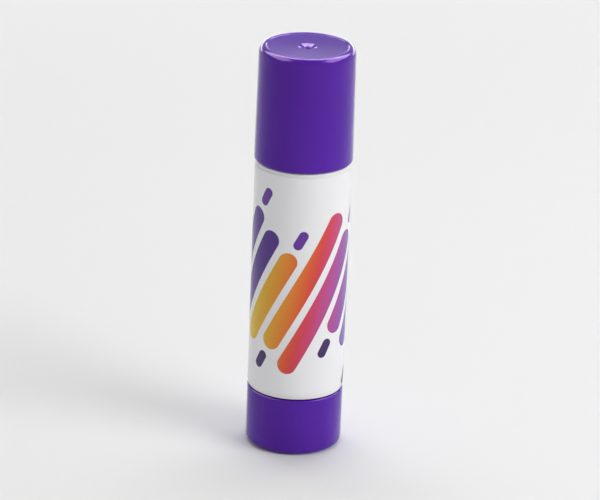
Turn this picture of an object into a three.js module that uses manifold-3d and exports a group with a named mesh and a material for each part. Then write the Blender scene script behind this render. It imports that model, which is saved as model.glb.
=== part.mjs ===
// A 15 gram glue stick: a cap over the neck of a barrel, a wrap label, and a knob whose screw lifts the glue.
// Millimetres, +Z up along the stick. The origin is the centre of the knob's underside.

import * as THREE from 'three';
import { mergeVertices } from 'three/addons/utils/BufferGeometryUtils.js';
import Module from 'manifold-3d';

const wasm = await Module();
wasm.setup();

// Facets
const AROUND = 48; // sides of everything turned round the axis
const THREAD_STEPS = 16; // sides of the screw, and sections in one turn of its thread
const ARC_STEPS = 4; // straight runs in a rounded edge

// Glue mass
const GLUE_DIAMETER = 17.8;
const GLUE_BELOW_MOUTH = 1.0;
const GLUE_CHAMFER_WIDTH = 2.2;
const GLUE_CHAMFER_HEIGHT = 3.2;
const GLUE_CLEARANCE = 0.25; // to the bore of the barrel
const GLUE_CASTING_GAP = 0.1; // to the carrier that it is cast into
const GLUE_OVER_SPINDLE = 0.4; // free space over the tip of the spindle

// Barrel
const BARREL_LENGTH = 56.1; // lower end to shoulder
const BARREL_EDGE = 0.3;
const NECK_LENGTH = 17.3;
const NECK_WALL = 1.0;
const NECK_BEAD_RISE = 0.12;
const NECK_BEAD_WIDTH = 1.2;
const NECK_BEAD_UP = 4.0; // from the shoulder
const SOCKET_STEP = 0.9; // how much the socket for the knob is wider than the bore, on the radius
const SOCKET_SPARE_DEPTH = 0.5;
const RIB_COUNT = 4;
const RIB_WIDTH = 1.0;
const RIB_HEIGHT = 0.6;
const RIB_BELOW_MOUTH = 6.5;
const RIB_LEAD_IN = 1.5;
const RIB_CLEARANCE = 0.25; // to the grooves of the carrier and the glue

// Label
const LABEL_THICKNESS = 0.1;
const LABEL_ADHESIVE = 0.03;
const LABEL_MARGIN = 1.0; // bare barrel at each end
const LABEL_SEAM = 0.5; // width left open where its ends meet, at the back

// Cap
const CAP_HEIGHT = 27.4;
const CAP_WALL = 1.0;
const CAP_TOP_WALL = 1.3;
const CAP_DRAFT = 0.28; // how much the radius shrinks from mouth to top
const CAP_CLEARANCE = 0.35; // to the neck, at the mouth
const CAP_OVERHANG = 0.2; // how far the mouth stands out over the label
const CAP_SEAT_GAP = 0.2;
const CAP_MOUTH_EDGE = 0.4;
const CAP_SHOULDER_WIDTH = 1.3;
const CAP_SHOULDER_DROP = 1.8;
const CAP_RIM_WIDTH = 0.3;
const CAP_RECESS = 0.2;
const GATE_RADIUS = 2.2;
const GATE_DEPTH = 0.5;
const GATE_NUB_RADIUS = 0.6;
const GATE_NUB_HEIGHT = 0.35;
const SEAL_WALL = 0.8;
const SEAL_CLEARANCE = 0.3; // to the bore of the neck
const SEAL_REACH = 0.6; // below the mouth of the neck
const SEAL_TAPER = 1.0;
const GUSSET_COUNT = 6;
const GUSSET_THICKNESS = 0.8;
const GUSSET_GAP = 0.4; // above the mouth of the neck

// Knob
const KNOB_HEIGHT = 14.0;
const KNOB_GAP = 0.3; // to the barrel
const KNOB_FILLET = 1.6;
const KNOB_EDGE = 0.35;
const KNOB_FLOOR = 1.6;
const FOOT_RING_WIDTH = 2.6;
const FOOT_RECESS = 0.5;
const SPIGOT_LENGTH = 6.0;
const SPIGOT_WALL = 1.1;
const SPIGOT_CLEARANCE = 0.2;
const SNAP_RISE = 0.25;
const SNAP_WIDTH = 1.2;
const SNAP_UP = 3.5; // from the knob's shoulder
const SNAP_CLEARANCE = 0.25;
const HUB_HEIGHT = 8.0;
const HUB_WALL = 1.4;
const KNOB_RIB_COUNT = 6;
const KNOB_RIB_THICKNESS = 0.9;
const KNOB_RIB_HEIGHT = 5.0;

// Spindle
const THREAD_LEAD = 4.0;
const THREAD_HAND = -1; // left-handed: turned anticlockwise from above, it lifts the carrier
const THREAD_CORE_RADIUS = 2.2;
const THREAD_DEPTH = 0.8;
const THREAD_ROOT_WIDTH = 2.0;
const THREAD_CREST_WIDTH = 1.0;
const THREAD_CLEARANCE = 0.2;
const THREAD_RUNOUT = 0.3; // turns over which the ridge fades at each end
const THREAD_BELOW_NUT = 2.0; // how far the thread starts under the carrier at rest
const SPINDLE_BELOW_MOUTH = 3.5;
const SPINDLE_TIP_CHAMFER = 0.8;
const SPINDLE_FLANGE_THICKNESS = 1.0;
const ROOT_ACROSS_FLATS = 5.0;
const ROOT_LENGTH = 6.0;
const ROOT_CLEARANCE = 0.1;
const ROOT_END_GAP = 0.3;

// Carrier
const CARRIER_HEIGHT = 9.0;
const CARRIER_FLOOR = 1.2;
const CARRIER_WALL = 0.8;
const CARRIER_CLEARANCE = 0.2; // of its lips, to the bore
const CARRIER_SEAT_GAP = 0.3; // above the knob's spigot
const LIP_HEIGHT = 1.2;
const LIP_RELIEF = 0.25;
const NUT_WALL = 1.3;
const NOTCH_COUNT = 8;
const NOTCH_WIDTH = 1.4;
const NOTCH_DEPTH = 3.0;

// Radii, from the glue outwards
const glueRadius = GLUE_DIAMETER / 2;
const boreRadius = glueRadius + GLUE_CLEARANCE;
const neckRadius = boreRadius + NECK_WALL;
const capMouthInner = neckRadius + CAP_CLEARANCE;
const capMouthOuter = capMouthInner + CAP_WALL;
const bodyRadius = capMouthOuter - CAP_OVERHANG;
const barrelRadius = bodyRadius - LABEL_THICKNESS - LABEL_ADHESIVE;
const socketRadius = boreRadius + SOCKET_STEP;
const spigotRadius = socketRadius - SPIGOT_CLEARANCE;
const spigotInner = spigotRadius - SPIGOT_WALL;
const carrierRadius = boreRadius - CARRIER_CLEARANCE;
const cupRadius = carrierRadius - LIP_RELIEF - CARRIER_WALL;
const crestRadius = THREAD_CORE_RADIUS + THREAD_DEPTH;
const nutRadius = crestRadius + THREAD_CLEARANCE + NUT_WALL;
const rootCornerRadius = ROOT_ACROSS_FLATS / 2 / Math.cos(Math.PI / 6);
const hubRadius = rootCornerRadius + ROOT_CLEARANCE + HUB_WALL;

// Heights above the table
const barrelBase = KNOB_HEIGHT + KNOB_GAP;
const shoulderHeight = barrelBase + BARREL_LENGTH;
const mouthHeight = shoulderHeight + NECK_LENGTH;
const capBase = shoulderHeight + CAP_SEAT_GAP;
const knobFloorTop = FOOT_RECESS + KNOB_FLOOR;
const hubTop = knobFloorTop + HUB_HEIGHT;
const spindleBase = hubTop + ROOT_CLEARANCE - ROOT_LENGTH;
const spindleTop = mouthHeight - SPINDLE_BELOW_MOUTH;
const carrierBase = KNOB_HEIGHT + SPIGOT_LENGTH + CARRIER_SEAT_GAP;
const glueBase = carrierBase + CARRIER_FLOOR + GLUE_CASTING_GAP;
const glueTop = mouthHeight - GLUE_BELOW_MOUTH;
const ribTop = mouthHeight - RIB_BELOW_MOUTH;

const materials = {
  purple: new THREE.MeshStandardMaterial({ color: 0x4a2a92, roughness: 0.22, metalness: 0 }),
  white: new THREE.MeshStandardMaterial({ color: 0xe6e6e4, roughness: 0.3, metalness: 0 }),
  label: new THREE.MeshStandardMaterial({ color: 0xf0eff2, roughness: 0.35, metalness: 0 }),
  glue: new THREE.MeshStandardMaterial({ color: 0x4a3596, roughness: 0.45, metalness: 0 }),
};

const point = (radius, height) => new THREE.Vector2(radius, height);

// Points on an ellipse between two angles in degrees, counted from the radial direction.
function arc(centre, width, height, from, to) {
  return Array.from({ length: ARC_STEPS + 1 }, (_, step) => {
    const angle = THREE.MathUtils.degToRad(from + ((to - from) * step) / ARC_STEPS);
    return point(centre.x + width * Math.cos(angle), centre.y + height * Math.sin(angle));
  });
}

// An outline of radius and height turned round the Z axis.
function turned(outline, sides = AROUND) {
  return new THREE.LatheGeometry(outline, sides).rotateX(Math.PI / 2);
}

function solid(geometry) {
  const bare = geometry.clone();
  bare.deleteAttribute('normal');
  bare.deleteAttribute('uv');
  const merged = mergeVertices(bare, 1e-4);
  const corners = merged.index.array;
  const whole = [];
  for (let i = 0; i < corners.length; i += 3) {
    const [a, b, c] = corners.slice(i, i + 3);
    if (a !== b && b !== c && c !== a) whole.push(a, b, c);
  }
  return new wasm.Manifold(new wasm.Mesh({
    numProp: 3,
    vertProperties: new Float32Array(merged.attributes.position.array),
    triVerts: new Uint32Array(whole),
  }));
}

function geometryOf(body) {
  const mesh = body.getMesh();
  const geometry = new THREE.BufferGeometry();
  geometry.setAttribute('position', new THREE.BufferAttribute(mesh.vertProperties, 3));
  geometry.setIndex(new THREE.BufferAttribute(mesh.triVerts, 1));
  geometry.computeVertexNormals();
  return geometry;
}

// A block that reaches out from the axis: radii, heights and thickness, at an angle round the axis.
function spoke(inner, outer, bottom, top, thickness, angle) {
  const block = new THREE.BoxGeometry(outer - inner, thickness, top - bottom);
  block.translate((inner + outer) / 2, 0, (bottom + top) / 2);
  return solid(block.rotateZ(angle));
}

function angles(count, start = 0) {
  return Array.from({ length: count }, (_, i) => start + (i * 2 * Math.PI) / count);
}

// The helical ridge of the thread as one closed tube of trapezoid sections. grow is added all round for the nut.
// base is the height above the table of the piece's own zero, which keeps screw and nut in step.
function threadRidge(bottom, top, base, grow) {
  const fade = THREAD_RUNOUT * THREAD_LEAD;
  const inside = THREAD_CORE_RADIUS * 0.6;
  const steps = Math.ceil(((top - bottom) / THREAD_LEAD) * THREAD_STEPS);
  const positions = [];
  const faces = [];
  for (let step = 0; step <= steps; step++) {
    const height = bottom + ((top - bottom) * step) / steps;
    const angle = (THREAD_HAND * 2 * Math.PI * (height + base)) / THREAD_LEAD;
    const full = grow > 0 ? 1 : Math.min(1, (height - bottom) / fade, (top - height) / fade);
    const crest = THREAD_CORE_RADIUS - 0.05 + (THREAD_DEPTH + 0.05) * full + grow;
    const section = [
      [inside, -THREAD_ROOT_WIDTH / 2 - grow],
      [crest, -THREAD_CREST_WIDTH / 2 - grow],
      [crest, THREAD_CREST_WIDTH / 2 + grow],
      [inside, THREAD_ROOT_WIDTH / 2 + grow],
    ];
    for (const [radius, rise] of section) {
      positions.push(radius * Math.cos(angle), radius * Math.sin(angle), height + rise);
    }
    for (let side = 0; step < steps && side < 4; side++) {
      const a = step * 4 + side;
      const b = step * 4 + ((side + 1) % 4);
      faces.push(a, b, b + 4, a, b + 4, a + 4);
    }
  }
  const last = steps * 4;
  faces.push(0, 2, 1, 0, 3, 2, last, last + 1, last + 2, last, last + 2, last + 3);
  const ridge = new THREE.BufferGeometry();
  ridge.setAttribute('position', new THREE.Float32BufferAttribute(positions, 3));
  ridge.setIndex(faces);
  return solid(ridge);
}

// The four keyways that let a piece slide past the ribs of the barrel.
function keyways(bottom, top) {
  const floor = boreRadius - RIB_HEIGHT - RIB_CLEARANCE;
  const width = RIB_WIDTH + 2 * RIB_CLEARANCE;
  return angles(RIB_COUNT, Math.PI / 4).map((angle) => spoke(floor, barrelRadius, bottom, top, width, angle));
}

function cap() {
  const topOuter = capMouthOuter - CAP_DRAFT;
  const topInner = capMouthInner - CAP_DRAFT;
  const discHeight = CAP_HEIGHT - CAP_RECESS;
  const ceiling = discHeight - CAP_TOP_WALL;
  const sealOuter = boreRadius - SEAL_CLEARANCE;
  const sealInner = sealOuter - SEAL_WALL;
  const sealBottom = mouthHeight - SEAL_REACH - capBase;
  const rimRadius = topOuter - CAP_SHOULDER_WIDTH;
  const dimple = arc(point(0, discHeight), GATE_RADIUS, GATE_DEPTH, 0, -60);
  const dimpleFloor = dimple[ARC_STEPS].y;
  const shell = turned([
    point(0, ceiling),
    point(sealInner, ceiling),
    point(sealInner, sealBottom),
    point(sealOuter - SEAL_WALL / 2, sealBottom),
    point(sealOuter, sealBottom + SEAL_TAPER),
    point(sealOuter, ceiling),
    point(topInner, ceiling),
    point(capMouthInner, CAP_MOUTH_EDGE),
    point(capMouthInner + CAP_MOUTH_EDGE / 2, 0),
    ...arc(point(capMouthOuter - CAP_MOUTH_EDGE, CAP_MOUTH_EDGE), CAP_MOUTH_EDGE, CAP_MOUTH_EDGE, -90, 0),
    ...arc(point(rimRadius, CAP_HEIGHT - CAP_SHOULDER_DROP), CAP_SHOULDER_WIDTH, CAP_SHOULDER_DROP, 0, 90),
    point(rimRadius - CAP_RIM_WIDTH, CAP_HEIGHT),
    point(rimRadius - CAP_RIM_WIDTH - CAP_RECESS, discHeight),
    ...dimple,
    point(GATE_NUB_RADIUS, dimpleFloor),
    point(GATE_NUB_RADIUS * 0.8, dimpleFloor + GATE_NUB_HEIGHT),
    point(0, dimpleFloor + GATE_NUB_HEIGHT),
  ]);
  const gussetBottom = mouthHeight + GUSSET_GAP - capBase;
  const gussetInner = sealOuter - SEAL_WALL / 2;
  const gussetOuter = capMouthInner;
  return angles(GUSSET_COUNT).reduce(
    (body, angle) => body.add(
      spoke(gussetInner, gussetOuter, gussetBottom, ceiling + CAP_RECESS, GUSSET_THICKNESS, angle),
    ),
    solid(shell),
  );
}

// One rib of the barrel's bore: its side outline, sloped at both ends, given its width.
function barrelRib(bottom, top, angle) {
  const tip = boreRadius - RIB_HEIGHT;
  const rooted = boreRadius + NECK_WALL / 2;
  const side = new THREE.Shape([
    point(rooted, bottom),
    point(boreRadius, bottom),
    point(tip, bottom + RIB_LEAD_IN),
    point(tip, top - RIB_LEAD_IN),
    point(boreRadius, top),
    point(rooted, top),
  ]);
  const rib = new THREE.ExtrudeGeometry(side, { depth: RIB_WIDTH, bevelEnabled: false });
  rib.translate(0, 0, -RIB_WIDTH / 2);
  return solid(rib.rotateX(Math.PI / 2).rotateZ(angle));
}

function barrel() {
  const socketDepth = SPIGOT_LENGTH - KNOB_GAP + SOCKET_SPARE_DEPTH;
  const neckTop = BARREL_LENGTH + NECK_LENGTH;
  const bead = BARREL_LENGTH + NECK_BEAD_UP;
  const snap = SNAP_UP - KNOB_GAP;
  const grooveRadius = spigotRadius + SNAP_RISE + SNAP_CLEARANCE;
  const grooveHalf = SNAP_WIDTH / 2 + SNAP_CLEARANCE;
  const tube = turned([
    point(socketRadius + BARREL_EDGE, 0),
    point(barrelRadius - BARREL_EDGE, 0),
    point(barrelRadius, BARREL_EDGE),
    point(barrelRadius, BARREL_LENGTH - BARREL_EDGE),
    point(barrelRadius - BARREL_EDGE, BARREL_LENGTH),
    point(neckRadius, BARREL_LENGTH),
    point(neckRadius, bead - NECK_BEAD_WIDTH / 2),
    point(neckRadius + NECK_BEAD_RISE, bead - NECK_BEAD_WIDTH / 4),
    point(neckRadius + NECK_BEAD_RISE, bead + NECK_BEAD_WIDTH / 4),
    point(neckRadius, bead + NECK_BEAD_WIDTH / 2),
    ...arc(point(neckRadius - NECK_WALL / 2, neckTop - NECK_WALL / 2), NECK_WALL / 2, NECK_WALL / 2, 0, 180),
    point(boreRadius, socketDepth),
    point(socketRadius, socketDepth),
    point(socketRadius, snap + grooveHalf),
    point(grooveRadius, snap + SNAP_WIDTH / 4),
    point(grooveRadius, snap - SNAP_WIDTH / 4),
    point(socketRadius, snap - grooveHalf),
    point(socketRadius, BARREL_EDGE),
    point(socketRadius + BARREL_EDGE, 0),
  ]);
  return angles(RIB_COUNT, Math.PI / 4).reduce(
    (body, angle) => body.add(barrelRib(socketDepth, ribTop - barrelBase, angle)),
    solid(tube),
  );
}

// A strip wrapped round the barrel, with its two ends meeting at the back, on +Y.
function label() {
  const inner = barrelRadius + LABEL_ADHESIVE;
  const outer = inner + LABEL_THICKNESS;
  const seam = LABEL_SEAM / 2 / outer;
  const start = Math.PI / 2 + seam;
  const sweep = 2 * Math.PI - 2 * seam;
  const bend = (radius, share) => {
    const angle = start + sweep * share;
    return point(radius * Math.cos(angle), radius * Math.sin(angle));
  };
  const shares = Array.from({ length: AROUND + 1 }, (_, i) => i / AROUND);
  const ring = new THREE.Shape([
    ...shares.map((share) => bend(outer, share)),
    ...shares.reverse().map((share) => bend(inner, share)),
  ]);
  const height = BARREL_LENGTH - 2 * LABEL_MARGIN;
  return solid(new THREE.ExtrudeGeometry(ring, { depth: height, bevelEnabled: false }));
}

function knob() {
  const footInner = bodyRadius - KNOB_FILLET - FOOT_RING_WIDTH;
  const spigotTop = KNOB_HEIGHT + SPIGOT_LENGTH;
  const snap = KNOB_HEIGHT + SNAP_UP;
  const cup = turned([
    point(0, FOOT_RECESS),
    point(footInner - FOOT_RECESS, FOOT_RECESS),
    point(footInner, 0),
    ...arc(point(bodyRadius - KNOB_FILLET, KNOB_FILLET), KNOB_FILLET, KNOB_FILLET, -90, 0),
    ...arc(point(bodyRadius - KNOB_EDGE, KNOB_HEIGHT - KNOB_EDGE), KNOB_EDGE, KNOB_EDGE, 0, 90),
    point(spigotRadius, KNOB_HEIGHT),
    point(spigotRadius, snap - SNAP_WIDTH / 2),
    point(spigotRadius + SNAP_RISE, snap - SNAP_WIDTH / 4),
    point(spigotRadius + SNAP_RISE, snap + SNAP_WIDTH / 4),
    point(spigotRadius, snap + SNAP_WIDTH / 2),
    point(spigotRadius, spigotTop - SPIGOT_WALL / 2),
    point(spigotRadius - SPIGOT_WALL / 2, spigotTop),
    point(spigotInner, spigotTop),
    point(spigotInner, knobFloorTop),
    point(hubRadius, knobFloorTop),
    point(hubRadius, hubTop),
    point(0, hubTop),
  ]);
  const ribOuter = (spigotInner + bodyRadius) / 2;
  const ribInner = rootCornerRadius + ROOT_CLEARANCE + HUB_WALL / 2;
  const ribBottom = knobFloorTop - KNOB_FLOOR / 2;
  const ribbed = angles(KNOB_RIB_COUNT).reduce(
    (body, angle) => body.add(
      spoke(ribInner, ribOuter, ribBottom, knobFloorTop + KNOB_RIB_HEIGHT, KNOB_RIB_THICKNESS, angle),
    ),
    solid(cup),
  );
  const holeBottom = spindleBase - ROOT_END_GAP;
  return ribbed.subtract(hexagon(rootCornerRadius + ROOT_CLEARANCE, holeBottom, hubTop + ROOT_LENGTH));
}

function hexagon(cornerRadius, bottom, top) {
  const prism = new THREE.CylinderGeometry(cornerRadius, cornerRadius, top - bottom, 6);
  return solid(prism.rotateX(Math.PI / 2).translate(0, 0, (bottom + top) / 2));
}

// The screw: a hexagonal root for the knob's hub, a flange that sits on the hub, and the thread.
function spindle() {
  const length = spindleTop - spindleBase;
  const flangeBottom = ROOT_LENGTH;
  const flangeTop = flangeBottom + SPINDLE_FLANGE_THICKNESS;
  const flangeRadius = hubRadius - HUB_WALL / 4;
  const shaft = turned(
    [
      point(0, flangeBottom),
      point(flangeRadius, flangeBottom),
      point(flangeRadius, flangeTop),
      point(THREAD_CORE_RADIUS, flangeTop),
      point(THREAD_CORE_RADIUS, length - SPINDLE_TIP_CHAMFER),
      point(THREAD_CORE_RADIUS - SPINDLE_TIP_CHAMFER, length),
      point(0, length),
    ],
    THREAD_STEPS,
  );
  const threadBottom = carrierBase - THREAD_BELOW_NUT - spindleBase;
  const threadTop = length - SPINDLE_TIP_CHAMFER - THREAD_ROOT_WIDTH / 2;
  return solid(shaft)
    .add(hexagon(rootCornerRadius, 0, flangeBottom + SPINDLE_FLANGE_THICKNESS / 2))
    .add(threadRidge(threadBottom, threadTop, spindleBase, 0));
}

// The piston under the glue: a keyed cup with two sealing lips, and the nut in its middle.
function carrier() {
  const relieved = carrierRadius - LIP_RELIEF;
  const cup = turned([
    point(0, 0),
    point(relieved, 0),
    point(carrierRadius, LIP_RELIEF),
    point(carrierRadius, LIP_HEIGHT),
    point(relieved, LIP_HEIGHT + LIP_RELIEF),
    point(relieved, CARRIER_HEIGHT - LIP_HEIGHT - LIP_RELIEF),
    point(carrierRadius, CARRIER_HEIGHT - LIP_HEIGHT),
    point(carrierRadius, CARRIER_HEIGHT - LIP_RELIEF),
    point(relieved, CARRIER_HEIGHT),
    point(cupRadius, CARRIER_HEIGHT),
    point(cupRadius, CARRIER_FLOOR),
    point(nutRadius, CARRIER_FLOOR),
    point(nutRadius, CARRIER_HEIGHT),
    point(0, CARRIER_HEIGHT),
  ]);
  const past = THREAD_LEAD;
  const boreShape = new THREE.CylinderGeometry(
    THREAD_CORE_RADIUS + THREAD_CLEARANCE,
    THREAD_CORE_RADIUS + THREAD_CLEARANCE,
    CARRIER_HEIGHT + 2 * past,
    THREAD_STEPS,
  );
  const bore = solid(boreShape.rotateX(Math.PI / 2).translate(0, 0, CARRIER_HEIGHT / 2));
  const thread = threadRidge(-past, CARRIER_HEIGHT + past, carrierBase, THREAD_CLEARANCE);
  const notches = angles(NOTCH_COUNT).map((angle) => spoke(
    (cupRadius + nutRadius) / 2,
    boreRadius,
    CARRIER_HEIGHT - NOTCH_DEPTH,
    CARRIER_HEIGHT + past,
    NOTCH_WIDTH,
    angle,
  ));
  const cuts = [bore, thread, ...notches, ...keyways(-past, CARRIER_HEIGHT + past)];
  return cuts.reduce((body, cut) => body.subtract(cut), solid(cup));
}

// The glue as cast: it fills the carrier's cup, leaves the spindle free, and is grooved by the barrel's ribs.
function glue() {
  const top = glueTop - glueBase;
  const boreTop = spindleTop + GLUE_OVER_SPINDLE - glueBase;
  const cupRim = carrierBase + CARRIER_HEIGHT + GLUE_CASTING_GAP - glueBase;
  const spindleHole = crestRadius + GLUE_CLEARANCE;
  const mass = turned([
    point(0, boreTop),
    point(spindleHole, boreTop),
    point(spindleHole, cupRim),
    point(nutRadius + GLUE_CASTING_GAP, cupRim),
    point(nutRadius + GLUE_CASTING_GAP, 0),
    point(cupRadius - GLUE_CASTING_GAP, 0),
    point(cupRadius - GLUE_CASTING_GAP, cupRim),
    point(glueRadius, cupRim),
    point(glueRadius, top - GLUE_CHAMFER_HEIGHT),
    point(glueRadius - GLUE_CHAMFER_WIDTH, top),
    point(0, top),
  ]);
  const grooveTop = ribTop + RIB_CLEARANCE - glueBase;
  return keyways(-CARRIER_FLOOR, grooveTop).reduce((body, cut) => body.subtract(cut), solid(mass));
}

function piece(name, body, material, base) {
  const mesh = new THREE.Mesh(geometryOf(body), material);
  mesh.name = name;
  mesh.position.z = base;
  return mesh;
}

const casing = new THREE.Group();
casing.add(
  piece('barrel', barrel(), materials.white, barrelBase),
  piece('label', label(), materials.label, barrelBase + LABEL_MARGIN),
);

const drive = new THREE.Group();
drive.add(
  piece('knob', knob(), materials.purple, 0),
  piece('spindle', spindle(), materials.white, spindleBase),
);

const carriage = new THREE.Group();
carriage.add(
  piece('carrier', carrier(), materials.white, carrierBase),
  piece('glue', glue(), materials.glue, glueBase),
);

const glueStick = new THREE.Group();
glueStick.add(casing, drive, carriage, piece('cap', cap(), materials.purple, capBase));

export default glueStick;
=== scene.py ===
import math

import bmesh
import bpy
from mathutils import Matrix, Vector


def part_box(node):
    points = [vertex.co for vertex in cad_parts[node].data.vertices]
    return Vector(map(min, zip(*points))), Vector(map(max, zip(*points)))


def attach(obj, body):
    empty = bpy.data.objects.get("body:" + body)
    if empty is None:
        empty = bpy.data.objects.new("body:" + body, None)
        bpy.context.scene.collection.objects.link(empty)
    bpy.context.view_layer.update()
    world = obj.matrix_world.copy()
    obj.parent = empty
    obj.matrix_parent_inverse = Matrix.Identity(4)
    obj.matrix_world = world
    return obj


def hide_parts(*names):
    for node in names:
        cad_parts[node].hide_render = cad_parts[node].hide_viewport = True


# The looks of a purple-capped glue stick, standing upright with its cap on.
# Sizes are millimetres above the table and from the stick's axis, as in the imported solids.

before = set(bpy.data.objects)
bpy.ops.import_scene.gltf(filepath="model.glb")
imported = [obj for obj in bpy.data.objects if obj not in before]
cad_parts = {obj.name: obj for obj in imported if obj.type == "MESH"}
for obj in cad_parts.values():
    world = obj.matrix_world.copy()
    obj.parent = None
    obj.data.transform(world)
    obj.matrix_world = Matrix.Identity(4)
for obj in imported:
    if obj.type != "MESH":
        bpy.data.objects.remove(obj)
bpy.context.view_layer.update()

MM = 0.001
SAME_POINT = 1e-3 * MM
ON_AXIS = 1e-6  # a smaller radius is on the axis
SIDES = 144  # of everything turned round the axis
ARC_STEPS = 10  # straight runs in a rounded edge
FILLET_STEPS = 5  # straight runs in a small fillet
FILLET = 0.3  # in the inner corners of a moulding
EDGE_FILLET = 0.15
FINE_FILLET = 0.08
SMOOTH_UNDER = math.radians(32)  # edges that turn less are shaded smooth


def reach(node):
    """The radius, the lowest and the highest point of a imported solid, in millimetres."""
    low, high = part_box(node)
    return [round(length / MM, 3) for length in (-low.y, low.z, high.z)]


CAP_RADIUS, CAP_BASE, CAP_TOP = reach("cap")
BARREL_RADIUS, BARREL_BASE, MOUTH = reach("barrel")
LABEL_OUTER, LABEL_BASE, LABEL_TOP = reach("label")
KNOB_RADIUS, KNOB_BASE, SPIGOT_TOP = reach("knob")
FLANGE_RADIUS, SPINDLE_BASE, SPINDLE_TOP = reach("spindle")
CARRIER_RADIUS, CARRIER_BASE, CARRIER_TOP = reach("carrier")
GLUE_RADIUS, GLUE_BASE, GLUE_TOP = reach("glue")

# Thread, left-handed, of the spindle and of the carrier's nut
THREAD_LEAD = 4.0
THREAD_CORE = 2.2
THREAD_DEPTH = 0.8
THREAD_ROOT_WIDTH = 2.0
THREAD_CREST_WIDTH = 1.0
THREAD_ROUNDING = 0.15
THREAD_CLEARANCE = 0.2
THREAD_FADE = 1.2  # height over which the ridge fades at each end
THREAD_STEPS = 36  # sections in one turn
CREST_STEPS = 3  # straight runs in the rounding of the crest
CREST_RADIUS = THREAD_CORE + THREAD_DEPTH
RIDGE_FOOT = 0.6 * THREAD_CORE  # the ridge is rooted this deep in the core
FADED_CREST = 0.98 * THREAD_CORE  # and ends just under its skin

# Barrel
BARREL_EDGE = 0.3
BARREL_ABOVE_LABEL = 1.0
NECK_WALL = 1.0
BEAD_RISE = 0.12
BEAD_WIDTH = 1.2
BEAD_UP = 4.0
BORE_CLEARANCE = 0.25  # to the glue
SOCKET_STEP = 0.9
SOCKET_SPARE_DEPTH = 0.5
RIB_COUNT = 4
RIB_WIDTH = 1.0
RIB_HEIGHT = 0.6
RIB_BELOW_MOUTH = 6.5
RIB_LEAD_IN = 1.5
RIB_CLEARANCE = 0.25
SHOULDER = LABEL_TOP + BARREL_ABOVE_LABEL
BORE_RADIUS = GLUE_RADIUS + BORE_CLEARANCE
NECK_RADIUS = BORE_RADIUS + NECK_WALL
SOCKET_RADIUS = BORE_RADIUS + SOCKET_STEP
SOCKET_TOP = SPIGOT_TOP + SOCKET_SPARE_DEPTH
RIB_TOP = MOUTH - RIB_BELOW_MOUTH
RIB_START = math.radians(45)

# Keyways of the carrier and the glue, which let them slide past the barrel's ribs
KEYWAY_WIDTH = RIB_WIDTH + 2 * RIB_CLEARANCE
KEYWAY_RADIUS = BORE_RADIUS - RIB_HEIGHT - RIB_CLEARANCE
KEYWAY_TOP = RIB_TOP + RIB_CLEARANCE

# Carrier
CARRIER_FLOOR = 1.2
CARRIER_WALL = 0.8
LIP_RELIEF = 0.25
LIP_HEIGHT = 1.2
NUT_WALL = 1.3
NOTCH_COUNT = 8
NOTCH_WIDTH = 1.4
NOTCH_DEPTH = 3.0
CUP_RADIUS = CARRIER_RADIUS - LIP_RELIEF - CARRIER_WALL
NUT_RADIUS = CREST_RADIUS + THREAD_CLEARANCE + NUT_WALL

# Glue
GLUE_CHAMFER_WIDTH = 2.2
GLUE_CHAMFER_HEIGHT = 3.2
GLUE_TIP_FILLET = 0.6
GLUE_OVER_SPINDLE = 0.4
CASTING_GAP = 0.1  # to the carrier

# Label
LABEL_THICKNESS = 0.1
LABEL_SEAM = 0.5

# Where the label lies unrolled on its map: its bottom edge, print, top edge and inside, and its two ends
LABEL_MAP_ROWS = ((0.0, 0.01), (0.26, 1.0), (0.02, 0.03), (0.07, 0.24))
LABEL_MAP_ENDS = ((0.0, 0.45), (0.55, 1.0))
LABEL_MAP_END_ROW = (0.04, 0.06)

# Cap
CAP_WALL = 1.0
CAP_TOP_WALL = 1.3
CAP_DRAFT = 0.28
CAP_MOUTH_EDGE = 0.4
CAP_SHOULDER_WIDTH = 1.3
CAP_SHOULDER_DROP = 1.8
CAP_RIM_WIDTH = 0.3
CAP_RECESS = 0.2
GATE_RADIUS = 2.2
GATE_DEPTH = 0.45
GATE_FLOOR_RADIUS = 1.1
NUB_RADIUS = 0.6
NUB_FOOT_RADIUS = 0.66
NUB_HEIGHT = 0.35
SEAL_CLEARANCE = 0.3
SEAL_WALL = 0.8
SEAL_REACH = 0.6  # below the mouth of the neck
SEAL_TAPER = 1.0
GUSSET_COUNT = 6
GUSSET_THICKNESS = 0.8
GUSSET_GAP = 0.4  # above the mouth of the neck

# Knob
KNOB_GAP = 0.3  # to the barrel
KNOB_TOP = BARREL_BASE - KNOB_GAP
KNOB_FILLET = 1.6
KNOB_EDGE = 0.35
KNOB_FLOOR = 1.6
FOOT_RING_WIDTH = 2.6
FOOT_RECESS = 0.5
FOOT_NUB_RADIUS = 0.9
FOOT_NUB_BASE_RADIUS = 1.08
FOOT_NUB_HEIGHT = 0.25
SPIGOT_CLEARANCE = 0.2
SPIGOT_WALL = 1.1
SPIGOT_RADIUS = SOCKET_RADIUS - SPIGOT_CLEARANCE
SPIGOT_INNER = SPIGOT_RADIUS - SPIGOT_WALL
SNAP_UP = 3.5  # from the knob's shoulder
SNAP_MIDDLE = KNOB_TOP + SNAP_UP
SNAP_WIDTH = 1.2
SNAP_RISE = 0.25
SNAP_CLEARANCE = 0.25
HUB_HEIGHT = 8.0
HUB_WALL = 1.4
KNOB_RIB_COUNT = 6
KNOB_RIB_THICKNESS = 0.9
KNOB_RIB_HEIGHT = 5.0

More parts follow.
